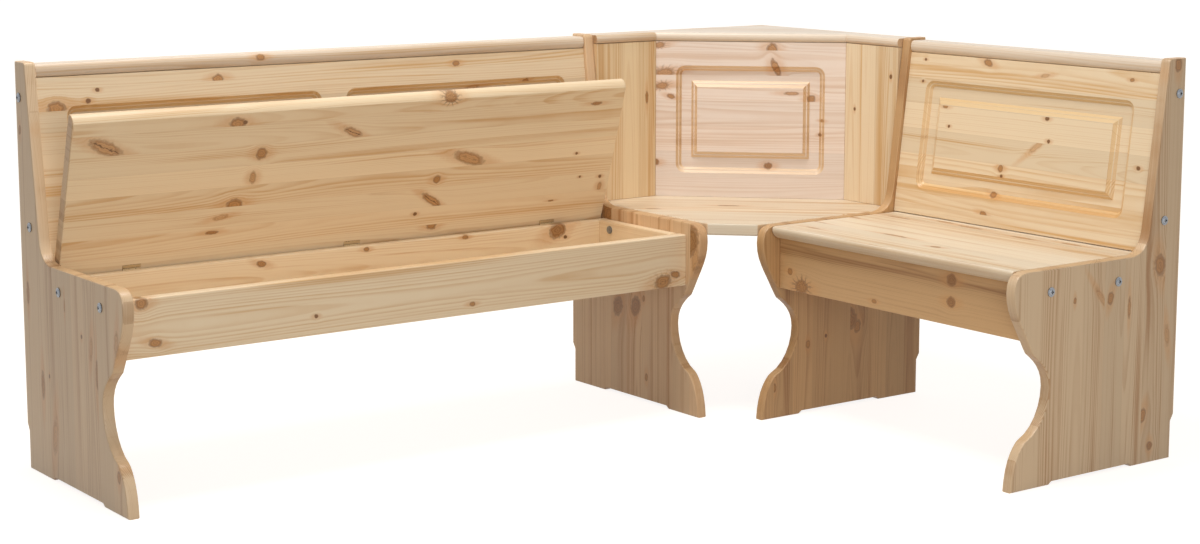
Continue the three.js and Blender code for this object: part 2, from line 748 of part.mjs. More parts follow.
// The corner unit's boards that span both walls: diagonal back, cap and seat.
function buildCorner(parent) {
  const rearReach = diagonalReach - backThickness * Math.SQRT2;
  const frontSeam = diagonalReach - cornerBackDepth;
  const rearDepth = cornerBackDepth - backThickness;
  const rearSeam = rearReach - rearDepth;
  const board = runUp([
    [-frontSeam, -cornerBackDepth], [-cornerBackDepth, -frontSeam],
    [-rearDepth, -rearSeam], [-rearSeam, -rearDepth],
  ], cornerSeatTop + fit, capBase - fit);
  const faceLength = (frontSeam - cornerBackDepth) * Math.SQRT2;
  const faceHeight = capBase - cornerSeatTop - 2 * fit;
  const tall = faceHeight - 2 * diagonalFieldRise;
  const placement = new THREE.Matrix4().makeRotationZ(-Math.PI / 4);
  placement.multiply(new THREE.Matrix4().makeRotationX(Math.PI / 2));
  placement.setPosition(-diagonalReach / 2, -diagonalReach / 2, (capBase + cornerSeatTop) / 2);
  const fieldWidth = faceLength - 2 * diagonalFieldMargin;
  const routed = routFields(board, [placement], fieldWidth, tall);
  place(parent, 'corner_back_diagonal', routed, pine(0.72));

  const reach = capFrontReach();
  const wall = topRailWallGap;
  const seam = reach - cornerBackDepth - capOverhang;
  const capPlan = block([-seam, -seam, capBase - overrun], [-wall, -wall, capTop + overrun]);
  const plate = runAlongX(
    noseShape(0, reach / Math.SQRT2, capBase, capTop), -reach, reach);
  plate.rotateZ(-Math.PI / 4);
  place(parent, 'corner_cap', toGeometry(toSolid(plate).intersect(toSolid(capPlan))), pine(0.76));

  const outer = panelFace - fit;
  const seat = runUp([
    [-cornerSeatBackDepth, -cornerSeatBackDepth], [-outer, -cornerSeatBackDepth],
    [-outer, -cornerSeatDepth], [-cornerSeatDepth, -outer], [-cornerSeatBackDepth, -outer],
  ], cornerSeatBase, cornerSeatTop, cornerSeatRoundover);
  place(parent, 'corner_seat', seat, pine(0.73));
}

const bench = new THREE.Group();
bench.position.set((longLength + headStand) / 2, (shortLength + headStand) / 2, 0);
const longSizes = {
  length: longLength,
  fieldCount: longFieldCount,
  hingeCount: longHingeCount,
  openDegrees: longLidOpenDegrees,
};
const shortSizes = {
  length: shortLength,
  fieldCount: shortFieldCount,
  hingeCount: shortHingeCount,
  openDegrees: shortLidOpenDegrees,
};
buildBench(bench, 'long', -1, longSizes);
buildBench(bench, 'short', 1, shortSizes).rotation.z = -Math.PI / 2;
buildCorner(bench);

const cornerBench = new THREE.Group();
cornerBench.add(bench);

export default cornerBench;
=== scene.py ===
"""Looks of the corner storage bench: lacquered knotty pine, zinc fittings, pale floor, soft light."""

import math
from collections import namedtuple

import bpy
from mathutils import Matrix, Vector

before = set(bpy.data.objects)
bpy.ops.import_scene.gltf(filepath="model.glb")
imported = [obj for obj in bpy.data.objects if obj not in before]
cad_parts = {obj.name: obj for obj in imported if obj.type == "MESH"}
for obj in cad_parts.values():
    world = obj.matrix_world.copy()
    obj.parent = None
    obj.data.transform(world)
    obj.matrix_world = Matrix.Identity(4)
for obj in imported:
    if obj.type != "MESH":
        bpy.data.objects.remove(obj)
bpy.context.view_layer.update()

MM = 0.001
RIGHT = Vector((1, 0, 0))
BACK = Vector((0, 1, 0))
UP = Vector((0, 0, 1))
TOWARDS = -BACK
DIAGONAL = (RIGHT + TOWARDS).normalized()
CAP_ACROSS = (RIGHT + BACK).normalized()

# The long lid rests open at this angle
LID_TILT = math.radians(72.7)
LID_ACROSS = TOWARDS * math.cos(LID_TILT) + UP * math.sin(LID_TILT)

# Camera: metres, degrees, and millimetres of lens and sensor
CAMERA_PLACE = Vector((-2.7376, -3.7140, 1.2162))
CAMERA_YAW = 36.26
CAMERA_PITCH = -8.113
CAMERA_LENS = 67.504
CAMERA_SENSOR = 36
CAMERA_SHIFT = -0.06

# Light: places and sizes in metres, powers in watts
SKY_LEVEL = 0.4
LAMP_AIM = Vector((0.05, 0.2, 0.5))
KEY_PLACE = Vector((-0.4, 0.2, 3.2))
KEY_SIZE = 1.2
KEY_POWER = 60
FILL_PLACE = Vector((-1.4, -3.4, 1.2))
FILL_SIZE = 2
FILL_POWER = 37

# Floor: the glow is what the camera sees on top of the floor's own lit colour
FLOOR_SIZE = 60
FLOOR_ROUGHNESS = 0.9
FLOOR_GLOW = 0.84

# Rounded arrises
ARRIS = 0.9 * MM
METAL_ARRIS = 0.15 * MM
ARRIS_STEPS = 2
ARRIS_ANGLE = math.radians(24)
WELD = 0.01 * MM
FLAT_ANGLE = math.radians(0.6)
NORMAL_WEIGHT = 90

# Growth of the wood: the width of a year's ring, the glue between staves, and the place of the
# pith, to the side of the stave's middle and below its face
RING = 2.1 * MM
NARROW_RING = 0.75 * RING
WIDE_RING = 1.5 * RING
RING_WAVER = 4 * MM
GLUE_LINE = 0.35 * MM
PITH_SPREAD = 90 * MM
PITH_NEAR = 18 * MM
PITH_FAR = 80 * MM
PITH_DRIFT = 46 * MM
PITH_DRIFT_RATE = 0.55

# From here on, a pair of values is the two ends of a smooth step or of a range

# Late wood: where in a ring it sets in and ends, and how strong it is from year to year
LATE_START = (0.25, 0.85)
LATE_END = (0.88, 1)
YEAR_SWING = 0.6
YEAR_LEAST = 0.2

# Figure: repeats per metre along and across the grain
Figure = namedtuple("Figure", "along across detail roughness", defaults=(2, 0.5))
WAVER = Figure(1.1, 11)
WIDE_STREAKS = Figure(0.9, 34)
NARROW_STREAKS = Figure(1.7, 150)
FIBRES = Figure(9, 620, 3, 0.6)
WIDE_STREAK_EDGE = (0.5, 0.78)
NARROW_STREAK_EDGE = (0.55, 0.8)
NARROW_STREAK_SHARE = 0.5

# Steps that keep the figure of one stave or board apart from the next
ROW_STEP = 7.31
SEED_STEP = 3.17

# What makes the wood more amber, and the tone of a stave
LATE_SHARE = 0.66
STREAK_SHARE = 0.7
FIBRE_SHARE = 0.5
STAVE_SHARE = 0.44
AMBER_RANGE = (-0.1, 1.1)
STAVE_TONE = (0.92, 1.03)

# Knots: distances from the middle are in the knot's own radii
KNOT_EDGE = (0.8, 1.08)
RIM_START = (0.5, 0.95)
RIM_END = (0.98, 1.3)
RIM_DARK = 0.58
CRACK_EDGE = (0.03, 0.2)
KNOT_RING_RATE = 17
KNOT_RING_DARK = 0.17
RAY_COUNT = 13
RAY_EDGE = (0.3, 0.9)
RAY_FADE = (1, 2.3)
RAY_DARK = 0.7
HALO_SHAPE = (0.5, 1, 0)
HALO_FADE = (0.7, 2.1)
BEND = 1.6
BEND_FADE = (2, 6)
BEND_SOFTNESS = 0.45
WOBBLE_RATE = 110
WOBBLE = 0.75

# How far each tint covers the wood
GLUE_SHARE = 0.35
HALO_SHARE = 0.45
KNOT_SHARE = 0.82
KNOT_DARK_SHARE = 0.85
END_SHARE = 0.7

# End grain and slopes, by how far the surface faces along the grain or along the board's face
END_FACING = (0.3, 0.95)
END_RINGS = (0, 0.8)
SLOPE_START = (0.15, 0.5)
SLOPE_END = (0.9, 0.985)

# The range in which most values of a noise lie
NOISE_RANGE = (0.2, 0.8)

# Lacquer
PORE_RATE = (22, 900, 900)
PORE_RELIEF = 0.12
PORE_DEPTH = 0.2 * MM
WOOD_ROUGHNESS = (0.36, 0.5)
COAT = 0.12
COAT_ROUGHNESS = 0.3

# Plating, with painted shade in the recesses of the fittings, found by ambient occlusion
CLOUD_RATE = 160
PIT_RATE = 2600
PIT_RELIEF = 0.15
PIT_DEPTH = 0.05 * MM
METAL_ROUGHNESS = (0.24, 0.42)
RECESS = 4 * MM
RECESS_EDGE = (0.3, 0.95)
RECESS_SAMPLES = 8


def tint(red, green, blue):
    """A colour from its display values of 0 to 255."""

    def linear(value):
        share = value / 255
        return share / 12.92 if share <= 0.04045 else ((share + 0.055) / 1.055) ** 2.4

    return (linear(red), linear(green), linear(blue), 1)


WHITE = tint(255, 255, 255)
FLOOR_TINT = tint(178, 163, 144)
KNOT_TINT = tint(184, 128, 66)
KNOT_DARK = tint(90, 54, 26)
HALO_TINT = tint(206, 150, 92)
GLUE_TINT = tint(176, 138, 98)
END_PALE = tint(208, 168, 120)
END_DARK = tint(156, 108, 62)
# Lacquer gathered on the moulding slopes, together with painted shade there, multiplied into the wood
SLOPE_LACQUER_AND_SHADE_TINT = tint(253, 240, 214)

# Finishes: the pale early wood and the amber late wood
Finish = namedtuple("Finish", "pale amber")
SEAT = Finish(tint(234, 218, 192), tint(201, 159, 107))
LID = Finish(tint(242, 219, 182), tint(214, 170, 116))
BACKREST = Finish(tint(232, 210, 176), tint(208, 165, 109))
AMBERED = Finish(tint(233, 208, 168), tint(206, 160, 104))
PINKISH = Finish(tint(236, 219, 204), tint(218, 190, 166))
RAIL = Finish(tint(224, 207, 186), tint(203, 169, 128))
APRON = Finish(tint(238, 217, 184), tint(212, 172, 122))
PANEL = Finish(tint(214, 187, 152), tint(172, 128, 84))
# Darker, warmer copies of the pine for boards in shade: painted shade beneath the benches and under
# the short lid's overhang
SHADED_INNER = Finish(tint(220, 186, 146), tint(178, 128, 80))
SHADED_WARM = Finish(tint(214, 173, 123), tint(162, 114, 68))
SHADED_DEEP = Finish(tint(200, 159, 111), tint(158, 110, 64))
BATTEN = Finish(tint(230, 205, 168), tint(205, 164, 114))

# A metal's deep colour is painted shade, laid where ambient occlusion finds a recess
Metal = namedtuple("Metal", "metallic dull bright deep")
BRIGHT_ZINC = Metal(0.85, tint(122, 127, 134), tint(170, 175, 182), tint(34, 34, 38))
YELLOW_ZINC = Metal(0.4, tint(196, 168, 124), tint(220, 196, 154), tint(170, 138, 94))

# Kinds of knot: half length and half width in millimetres, tilt in degrees, and shares of
# darkness, crack, rays and paleness
Kind = namedtuple("Kind", "length width tilt dark crack rays pale", defaults=(0,))
ROUND = Kind(9, 9, 0, 0.25, 0, 0)
UPRIGHT = Kind(7, 13, 0, 0.15, 0, 0, 0.3)
HALF = Kind(15, 12, 0, 0.15, 0, 0)
OVAL = Kind(13, 8, -14, 0.25, 0.2, 0)
SMALL = Kind(7, 4.5, 0, 0.25, 0, 0)
BIG = Kind(21, 15, 12, 0.25, 0.5, 0.3)
DARK = Kind(22, 16, 20, 0.5, 0.4, 0)
SLANT = Kind(36, 13, -24, 0, 0.9, 0, 0.25)
CRACKED = Kind(30, 8, -33, 0.05, 1, 0, 0.1)
SPIKE = Kind(40, 13, -18, 0, 0.3, 0, 0.2)
FLAME = Kind(24, 8, 8, 0, 0.2, 0, 0.55)
BRANCH = Kind(26, 6, 38, 0, 0.1, 0, 0.65)
RAYED = Kind(15, 11, 0, 0.3, 0.3, 1)
SPECK = Kind(4.5, 4, 0, 0.9, 0, 0)
PIN = Kind(9, 2.6, 0, 0.4, 0, 0)
STREAK = Kind(22, 4.6, 0, 0.12, 0, 0, 0.15)
LENS = Kind(17, 4, 0, 0.1, 0, 0, 0.2)
TEAR = Kind(12, 16, -12, 0.15, 0.2, 0)
CLEFT = Kind(8, 22, 22, 0.1, 0.6, 0)
FAN = Kind(22, 11, 8, 0.05, 0.3, 0.6, 0.15)
PLUG = Kind(9, 8, 0, 0.55, 0, 0)

# Knots of each board: place along and across the board as shares of its size, kind, and size
# of that kind
LEFT_END_KNOTS = (
    (0.836, 0.037, SMALL, 1.3),
    (0.85, 0.154, SMALL, 1.2),
    (0.441, 0.063, PIN, 2.4),
    (0.443, 0.439, STREAK, 0.6),
    (0.384, 0.6, SPECK, 0.9),
    (0.364, 0.69, FLAME, 0.9),
    (0.4, 0.93, FLAME, 1),
    (0.307, 0.747, PIN, 3.4),
    (0.255, 0.26, SPECK, 0.9),
    (0.225, 0.19, PIN, 3),
    (0.112, 0.3, FLAME, 1.5),
    (0.089, 0.92, SMALL, 1.6),
)
LEFT_INNER_KNOTS = (
    (0.505, 0.3, DARK, 1.5),
    (0.475, 0.93, DARK, 1.5),
    (0.43, 0.965, FLAME, 1.3),
    (0.251, 0.375, DARK, 1),
    (0.264, 0.517, DARK, 1),
    (0.29, 0.579, SMALL, 1),
    (0.071, 0.602, SMALL, 1.2),
)
RIGHT_INNER_KNOTS = (
    (0.241, 0.457, DARK, 1.1),
    (0.216, 0.412, OVAL, 1.1),
    (0.204, 0.61, SPECK, 1),
    (0.189, 0.721, SMALL, 1.2),
    (0.084, 0.927, SMALL, 1.4),
)
RIGHT_END_KNOTS = (
    (0.494, 0.123, BIG, 1),
    (0.431, 0.428, OVAL, 1),
    (0.438, 0.487, BRANCH, 1),
    (0.439, 0.645, SMALL, 0.9),
    (0.4, 0.31, STREAK, 0.9),
    (0.316, 0.064, FLAME, 0.9),
    (0.123, 0.204, OVAL, 1.15),
    (0.043, 0.153, PLUG, 1),
    (0.984, 0.05, SMALL, 2),
    (0.975, 0.13, SMALL, 1.6),
)
LONG_BACK_KNOTS = (
    (0.029, 0.823, HALF, 1.2),
    (0.08, 0.858, SPECK, 1.3),
    (0.096, 0.916, SPECK, 1),
    (0.297, 0.936, HALF, 0.8),
    (0.736, 0.95, SMALL, 1.2),
    (0.769, 0.788, FLAME, 0.8),
    (0.876, 0.814, SMALL, 1.2),
)
LONG_LID_KNOTS = (
    (0.055, 0.822, SLANT, 1),
    (0.267, 0.904, HALF, 1.1),
    (0.279, 0.912, SPECK, 1.2),
    (0.314, 0.723, ROUND, 1.25),
    (0.304, 0.585, UPRIGHT, 1),
    (0.278, 0.43, HALF, 1.1),
    (0.257, 0.365, FLAME, 0.7),
    (0.245, 0.28, PIN, 1.5),
    (0.472, 0.808, SLANT, 0.62),
    (0.701, 0.589, SPIKE, 1),
    (0.644, 0.474, ROUND, 0.95),
    (0.64, 0.345, CRACKED, 1),
    (0.612, 0.268, SPECK, 1),
    (0.648, 0.185, HALF, 0.8),
    (0.647, 0.975, RAYED, 1),
    (0.943, 0.875, PIN, 1.6),
    (0.92, 0.56, SPECK, 0.8),
    (0.936, 0.405, SPECK, 0.7),
    (0.979, 0.396, SPECK, 1),
    (0.982, 0.33, UPRIGHT, 0.8),
    (0.883, 0.265, PIN, 0.8),
)
LONG_APRON_KNOTS = (
    (0.026, 0.92, ROUND, 1.3),
    (0.046, 0.232, OVAL, 1),
    (0.304, 0.333, SPECK, 1),
    (0.578, 0.186, SMALL, 1),
    (0.952, 0.126, BIG, 1),
    (0.978, 0.24, OVAL, 0.9),
)
LONG_BACK_RAIL_KNOTS = (
    (0.329, 0.869, OVAL, 0.8),
    (0.517, 0.922, SMALL, 1),
    (0.706, 0.944, SMALL, 1),
    (0.893, 0.88, DARK, 1),
    (0.909, 0.728, SPECK, 1.1),
)
SHORT_BACK_KNOTS = (
    (0.336, 0.975, OVAL, 0.9),
    (0.57, 0.93, FLAME, 0.5),
    (0.068, 0.962, SPECK, 0.8),
    (0.066, 0.827, SPECK, 0.8),
    (0.176, 0.688, SMALL, 1.1),
    (0.2, 0.568, SPECK, 0.8),
    (0.597, 0.682, SPECK, 1.3),
    (0.612, 0.55, SPECK, 1),
    (0.57, 0.515, BRANCH, 1),
    (0.434, 0.355, ROUND, 0.8),
    (0.44, 0.31, SPECK, 0.9),
    (0.407, 0.188, OVAL, 0.7),
    (0.386, 0.065, OVAL, 0.8),
    (0.957, 0.461, SPECK, 1.1),
    (0.898, 0.95, SMALL, 0.8),
)
SHORT_LID_KNOTS = (
    (0.012, 0.395, STREAK, 1.1),
    (0.026, 0.685, STREAK, 1),
    (0.102, 0.852, STREAK, 0.9),
    (0.102, 0.187, STREAK, 1.4),
    (0.256, 0.091, STREAK, 1.2),
    (0.376, 0.119, STREAK, 1.5),
    (0.36, 0.675, STREAK, 1.4),
    (0.581, 0.767, OVAL, 0.9),
    (0.614, 0.163, STREAK, 1.3),
    (0.783, 0.114, STREAK, 1.2),
)
SHORT_APRON_KNOTS = (
    (0.047, 0.362, ROUND, 0.8),
    (0.1, 0.114, RAYED, 1.3),
    (0.731, 0.817, PLUG, 1.4),
    (0.731, 0.42, PLUG, 1.25),
    (0.419, 0.138, SMALL, 1),
)
DIAGONAL_KNOTS = (
    (0.609, 0.949, TEAR, 1),
    (0.63, 0.834, CLEFT, 1),
    (0.71, 0.675, LENS, 1),
    (0.809, 0.638, ROUND, 1),
    (0.594, 0.204, PLUG, 1),
    (0.865, 0.502, SMALL, 0.7),
    (0.855, 0.41, SPECK, 0.9),
    (0.037, 0.975, FAN, 0.6),
    (0.063, 0.797, FAN, 1),
    (0.05, 0.715, FAN, 0.7),
    (0.096, 0.646, OVAL, 0.7),
    (0.02, 0.219, PLUG, 0.9),
)
LONG_TOP_RAIL_KNOTS = ((0.372, 0.69, SMALL, 1.4),)
CORNER_SEAT_KNOTS = (
    (0.451, 0.403, PIN, 2.6),
    (0.228, 0.294, PIN, 1.8),
)
CORNER_LEFT_KNOTS = ((0.64, 0.805, PIN, 1.6),)
CORNER_RIGHT_KNOTS = (
    (0.816, 0.876, SPECK, 1.1),
    (0.589, 0.224, SPECK, 0.9),
)

# Boards: direction of the grain and across it, finish, width of a stave in millimetres, shift of
# the staves as a share of that width, and knots
Board = namedtuple("Board", "node grain across finish stave shift knots", defaults=((),))
BOARDS = [
    Board("side_panel_left_end", UP, TOWARDS, PANEL, 61, 0.95, LEFT_END_KNOTS),
    # The inner panels take darker finishes: painted shade beneath the benches
    Board("side_panel_left_inner", UP, TOWARDS, SHADED_INNER, 60, 0.35, LEFT_INNER_KNOTS),
    Board("side_panel_right_inner", UP, -RIGHT, SHADED_DEEP, 58, 0.1, RIGHT_INNER_KNOTS),
    Board("side_panel_right_end", UP, -RIGHT, PANEL, 62, 0.3, RIGHT_END_KNOTS),
    Board("long_backrest", RIGHT, UP, BACKREST, 43, 0.02, LONG_BACK_KNOTS),
    Board("long_top_rail", RIGHT, UP, RAIL, 90, 0.3, LONG_TOP_RAIL_KNOTS),
    Board("long_front_rail", RIGHT, UP, APRON, 130, 0.02, LONG_APRON_KNOTS),
    Board("long_back_rail", RIGHT, UP, LID, 130, 0.02, LONG_BACK_RAIL_KNOTS),
    Board("long_end_rail_left", BACK, UP, LID, 130, 0.02),
    Board("long_end_rail_right", BACK, UP, LID, 130, 0.02),
    Board("long_box_bottom", RIGHT, BACK, BATTEN, 95, 0.3),
    Board("long_lid", RIGHT, LID_ACROSS, LID, 46, 0.39, LONG_LID_KNOTS),
    Board("long_back_cleat_left", UP, RIGHT, BATTEN, 60, 0.1),
    Board("long_back_cleat_right", UP, RIGHT, BATTEN, 60, 0.1),
    Board("short_backrest", TOWARDS, UP, BACKREST, 58, 0.6, SHORT_BACK_KNOTS),
    Board("short_top_rail", TOWARDS, UP, RAIL, 90, 0.3),
    # The short apron's darker finish is painted shade under the short lid's overhang
    Board("short_front_rail", TOWARDS, UP, SHADED_WARM, 130, 0.02, SHORT_APRON_KNOTS),
    Board("short_back_rail", TOWARDS, UP, LID, 130, 0.02),
    Board("short_end_rail_left", RIGHT, UP, LID, 130, 0.02),
    Board("short_end_rail_right", RIGHT, UP, LID, 130, 0.02),
    Board("short_box_bottom", BACK, RIGHT, BATTEN, 95, 0.3),
    Board("short_lid", TOWARDS, -RIGHT, SEAT, 48, 0.4, SHORT_LID_KNOTS),
    Board("short_back_cleat_left", UP, BACK, BATTEN, 60, 0.1),
    Board("short_back_cleat_right", UP, BACK, BATTEN, 60, 0.1),
    Board("corner_seat", DIAGONAL, CAP_ACROSS, SEAT, 66, 0.2, CORNER_SEAT_KNOTS),
    Board("corner_back_left", UP, RIGHT, AMBERED, 47, 0.3, CORNER_LEFT_KNOTS),
    Board("corner_back_diagonal", DIAGONAL, UP, PINKISH, 62, 0.2, DIAGONAL_KNOTS),
    Board("corner_back_right", UP, TOWARDS, BACKREST, 47, 0.6, CORNER_RIGHT_KNOTS),
    Board("corner_cap", DIAGONAL, CAP_ACROSS, RAIL, 62, 0.3),
    Board("corner_rail_left", RIGHT, BACK, RAIL, 90, 0.2),
    Board("corner_rail_right", TOWARDS, -RIGHT, RAIL, 90, 0.2),
    Board("corner_seat_cleat_left", BACK, UP, BATTEN, 60, 0.1),
    Board("corner_seat_cleat_right", RIGHT, UP, BATTEN, 60, 0.1),
]

# Boards with routed fields, whose moulding slopes get gathered lacquer and painted shade, darker and
# more amber
ROUTED = ("long_backrest", "short_backrest", "corner_back_diagonal")


class Tree:
    """Short ways to add and join the nodes of one material or group."""

    def __init__(self, node_tree):
        self.node_tree = node_tree

    def feed(self, socket, value):
        """Links a socket to another one, or sets its value."""
        if isinstance(value, bpy.types.NodeSocket):
            self.node_tree.links.new(value, socket)
        else:
            socket.default_value = value

    def add(self, kind, inputs, **settings):
        node = self.node_tree.nodes.new("ShaderNode" + kind)
        for name, value in settings.items():
            setattr(node, name, value)
        for name, value in inputs.items():
            self.feed(node.inputs[name], value)
        return node

    def use(self, group, inputs):
        """The outputs of a node group fed with the given values."""
        node = self.node_tree.nodes.new("ShaderNodeGroup")
        node.node_tree = group
        for name, value in inputs.items():
            self.feed(node.inputs[name], value)
        return node.outputs

    def math(self, operation, *values):
        return self.add("Math", dict(enumerate(values)), operation=operation).outputs[0]

    def plus(self, first, second):
        return self.math("ADD", first, second)

    def minus(self, first, second):
        return self.math("SUBTRACT", first, second)

    def times(self, first, second):
        return self.math("MULTIPLY", first, second)

    def over(self, first, second):
        return self.math("DIVIDE", first, second)

    def most(self, first, second):
        return self.math("MAXIMUM", first, second)

    def swing(self, chance, width):
        """A chance of 0 to 1 as a swing of that width about 0."""
        return self.times(self.minus(chance, 0.5), width)

    def vector(self, operation, *values):
        node = self.add("VectorMath", dict(enumerate(values)), operation=operation)
        scalar = operation in ("LENGTH", "DOT_PRODUCT")
        return node.outputs["Value" if scalar else "Vector"]

    def join(self, x, y, z):
        return self.add("CombineXYZ", {"X": x, "Y": y, "Z": z}).outputs[0]

    def split(self, vector):
        return self.add("SeparateXYZ", {0: vector}).outputs

    def ramp(self, value, start, end, low=0, high=1):
        """A smooth step from low to high between start and end."""
        values = {"Value": value, "From Min": start, "From Max": end, "To Min": low, "To Max": high}
        return self.add("MapRange", values, interpolation_type="SMOOTHSTEP").outputs[0]

    def fade(self, value, start, end, high=1):
        return self.ramp(value, start, end, high, 0)

    def noise(self, vector, scale, detail=2, roughness=0.5):
        values = {"Vector": vector, "Scale": scale, "Detail": detail, "Roughness": roughness}
        return self.add("TexNoise", values).outputs

    def chance(self, vector):
        """A steady chance for each pair of values in X and Y."""
        return self.add("TexWhiteNoise", {"Vector": vector}, noise_dimensions="2D").outputs

    def mix(self, share, first, second, mode="MIX"):
        node = self.add("Mix", {}, data_type="RGBA", blend_type=mode)
        self.feed(node.inputs["Factor"], share)
        self.feed(node.inputs[6], first)
        self.feed(node.inputs[7], second)
        return node.outputs[2]


def new_material(name):
    """A material with nodes: the material, its Tree and its shader."""
    material = bpy.data.materials.new(name)
    material.use_nodes = True
    return material, Tree(material.node_tree), material.node_tree.nodes["Principled BSDF"]


def new_group(name, inputs, outputs):
    """An empty node group with the named sockets: its Tree, its inputs and its output node."""
    group = bpy.data.node_groups.new(name, "ShaderNodeTree")
    for label, kind in inputs.items():
        group.interface.new_socket(label, in_out="INPUT", socket_type="NodeSocket" + kind)
    for label, kind in outputs.items():
        group.interface.new_socket(label, in_out="OUTPUT", socket_type="NodeSocket" + kind)
    entry = group.nodes.new("NodeGroupInput")
    result = group.nodes.new("NodeGroupOutput")
    return Tree(group), entry.outputs, result


def stave_group():
    """Which glued stave a point is in, how far it is across that stave, and its glue line."""
    inputs = {"Across": "Float", "Width": "Float", "Shift": "Float"}
    outputs = {"Row": "Float", "Inside": "Float", "Glue": "Float"}
    tree, given, result = new_group("staves", inputs, outputs)
    place = tree.plus(tree.over(given["Across"], given["Width"]), given["Shift"])
    row = tree.math("FLOOR", place)
    part = tree.minus(place, row)
    inside = tree.swing(part, given["Width"])
    edge = tree.minus(tree.times(given["Width"], 0.5), tree.math("ABSOLUTE", inside))
    tree.feed(result.inputs["Row"], row)
    tree.feed(result.inputs["Inside"], inside)
    tree.feed(result.inputs["Glue"], tree.fade(edge, 0, GLUE_LINE))
    return tree.node_tree


def knot_group():
    """One knot: adds its core, dark parts and halo to the masks, and bends the rings round it."""
    inputs = {
        "Place": "Vector",
        "Wobble": "Vector",
        "Row": "Float",
        "Centre": "Vector",
        "Radii": "Vector",
        "Turn": "Vector",
        "Own row": "Float",
        "Dark": "Float",
        "Crack": "Float",
        "Rays": "Float",
        "Pale": "Float",
        "Masks": "Vector",
        "Bend": "Float",
    }
    tree, given, result = new_group("knot", inputs, {"Masks": "Vector", "Bend": "Float"})
    values = {
        "Vector": given["Place"],
        "Location": given["Centre"],
        "Rotation": given["Turn"],
        "Scale": given["Radii"],
    }
    local = tree.add("Mapping", values, vector_type="TEXTURE").outputs[0]
    local = tree.vector("MULTIPLY", tree.vector("ADD", local, given["Wobble"]), (1, 1, 0))
    near = tree.vector("LENGTH", local)
    along, across, _ = tree.split(local)
    same = tree.math("COMPARE", given["Row"], given["Own row"], 0.5)
    core = tree.times(tree.fade(near, *KNOT_EDGE), same)
    rim = tree.times(tree.ramp(near, *RIM_START), tree.fade(near, *RIM_END))
    crack = tree.times(tree.fade(tree.math("ABSOLUTE", across), *CRACK_EDGE), core)
    solid = tree.minus(1, given["Pale"])
    dark = tree.times(tree.times(rim, same), tree.times(solid, RIM_DARK))
    dark = tree.most(dark, tree.times(crack, given["Crack"]))
    dark = tree.most(dark, tree.times(core, given["Dark"]))
    rings = tree.math("COSINE", tree.times(near, KNOT_RING_RATE))
    dark = tree.plus(dark, tree.times(tree.times(rings, core), KNOT_RING_DARK))
    ray = tree.math("SINE", tree.times(tree.math("ARCTAN2", across, along), RAY_COUNT))
    ray = tree.times(tree.ramp(ray, *RAY_EDGE), tree.fade(near, *RAY_FADE, RAY_DARK))
    ray = tree.times(tree.times(ray, same), given["Rays"])
    dark = tree.most(dark, ray)
    wide = tree.vector("LENGTH", tree.vector("MULTIPLY", local, HALO_SHAPE))
    halo = tree.times(tree.fade(wide, *HALO_FADE), same)
    core = tree.times(core, solid)
    masks = tree.vector("MAXIMUM", given["Masks"], tree.join(core, dark, halo))
    pull = tree.over(across, tree.plus(tree.times(near, near), BEND_SOFTNESS))
    pull = tree.times(pull, tree.split(given["Radii"])[1])
    pull = tree.times(tree.times(pull, same), tree.fade(near, *BEND_FADE, BEND))
    tree.feed(result.inputs["Masks"], masks)
    tree.feed(result.inputs["Bend"], tree.minus(given["Bend"], pull))
    return tree.node_tree


def figure(tree, kind, along, across, apart):
    """Noise drawn out along the grain."""
    place = tree.join(tree.times(along, kind.along), tree.times(across, kind.across), apart)
    return tree.noise(place, 1, kind.detail, kind.roughness)[0]


